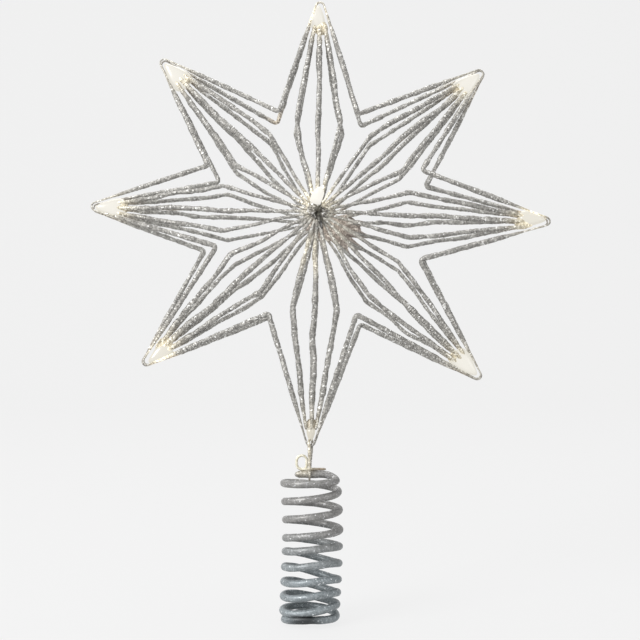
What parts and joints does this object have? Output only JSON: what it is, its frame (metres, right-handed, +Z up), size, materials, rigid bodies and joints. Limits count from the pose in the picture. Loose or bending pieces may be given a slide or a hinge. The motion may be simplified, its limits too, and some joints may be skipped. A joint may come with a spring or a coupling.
{
  "type": "christmas tree topper star",
  "caption": "Open eight-pointed star of bent glitter-coated wire with a lamp in each tip and in the hub, standing on a coil spring that slides over a tree's top shoot.",
  "frame": {"origin": "centre of the coil's mouth, in the plane the coil's lowest turn reaches down to", "axes": "+Z up along the coil, -Y the way the star faces, +X to the star's left as it looks out, which is the viewer's right"},
  "size_m": [0.2227, 0.0587, 0.2993],
  "materials": {
    "glitter_wire": "steel wire under a silver glitter coat",
    "glitter_coil": "spring wire under a thick silver glitter coat",
    "glitter_glue": "set glue full of silver glitter, tinted by the lamps",
    "lamp_body": "clear epoxy lamp body, lit warm white",
    "lamp_lead": "plastic-covered copper lead",
    "tie_wire": "pale lacquered binding wire"
  },
  "bodies": {
    "coil_base": {"coil_spring": "glitter_coil"},
    "neck": {"neck_tie": "tie_wire"},
    "star": {"back_hub": "glitter_glue", "back_hub_bulb": "lamp_body", "back_rim": "glitter_wire", "bottom_back_wires": "glitter_wire", "bottom_front_wires": "glitter_wire", "bottom_tip_bead": "glitter_glue", "bottom_tip_bulb": "lamp_body", "front_hub": "glitter_glue", "front_hub_bulb": "lamp_body", "front_rim": "glitter_wire", "lamp_leads": "lamp_lead", "left_back_wires": "glitter_wire", "left_front_wires": "glitter_wire", "left_tip_bead": "glitter_glue", "left_tip_bulb": "lamp_body", "lower_left_back_wires": "glitter_wire", "lower_left_front_wires": "glitter_wire", "lower_left_tip_bead": "glitter_glue", "lower_left_tip_bulb": "lamp_body", "lower_right_back_wires": "glitter_wire", "lower_right_front_wires": "glitter_wire", "lower_right_tip_bead": "glitter_glue", "lower_right_tip_bulb": "lamp_body", "neck_link": "glitter_wire", "right_back_wires": "glitter_wire", "right_front_wires": "glitter_wire", "right_tip_bead": "glitter_glue", "right_tip_bulb": "lamp_body", "top_back_wires": "glitter_wire", "top_front_wires": "glitter_wire", "top_tip_bead": "glitter_glue", "top_tip_bulb": "lamp_body", "upper_left_back_wires": "glitter_wire", "upper_left_front_wires": "glitter_wire", "upper_left_tip_bead": "glitter_glue", "upper_left_tip_bulb": "lamp_body", "upper_right_back_wires": "glitter_wire", "upper_right_front_wires": "glitter_wire", "upper_right_tip_bead": "glitter_glue", "upper_right_tip_bulb": "lamp_body"}
  },
  "joints": [
    {"name": "coil_squeeze", "type": "slide", "parent": "coil_base", "child": "neck", "axis": [0, 0, 1], "range_m": [-0.018, 0.006], "stiffness_N_per_m": 2450, "springref_m": 0.00043, "deforming": ["coil_spring"]},
    {"name": "star_nod", "type": "hinge", "parent": "neck", "child": "star", "pos_m": [0, 0, 0.07], "axis": [1, 0, 0], "range_deg": [-15, 15]}
  ]
}
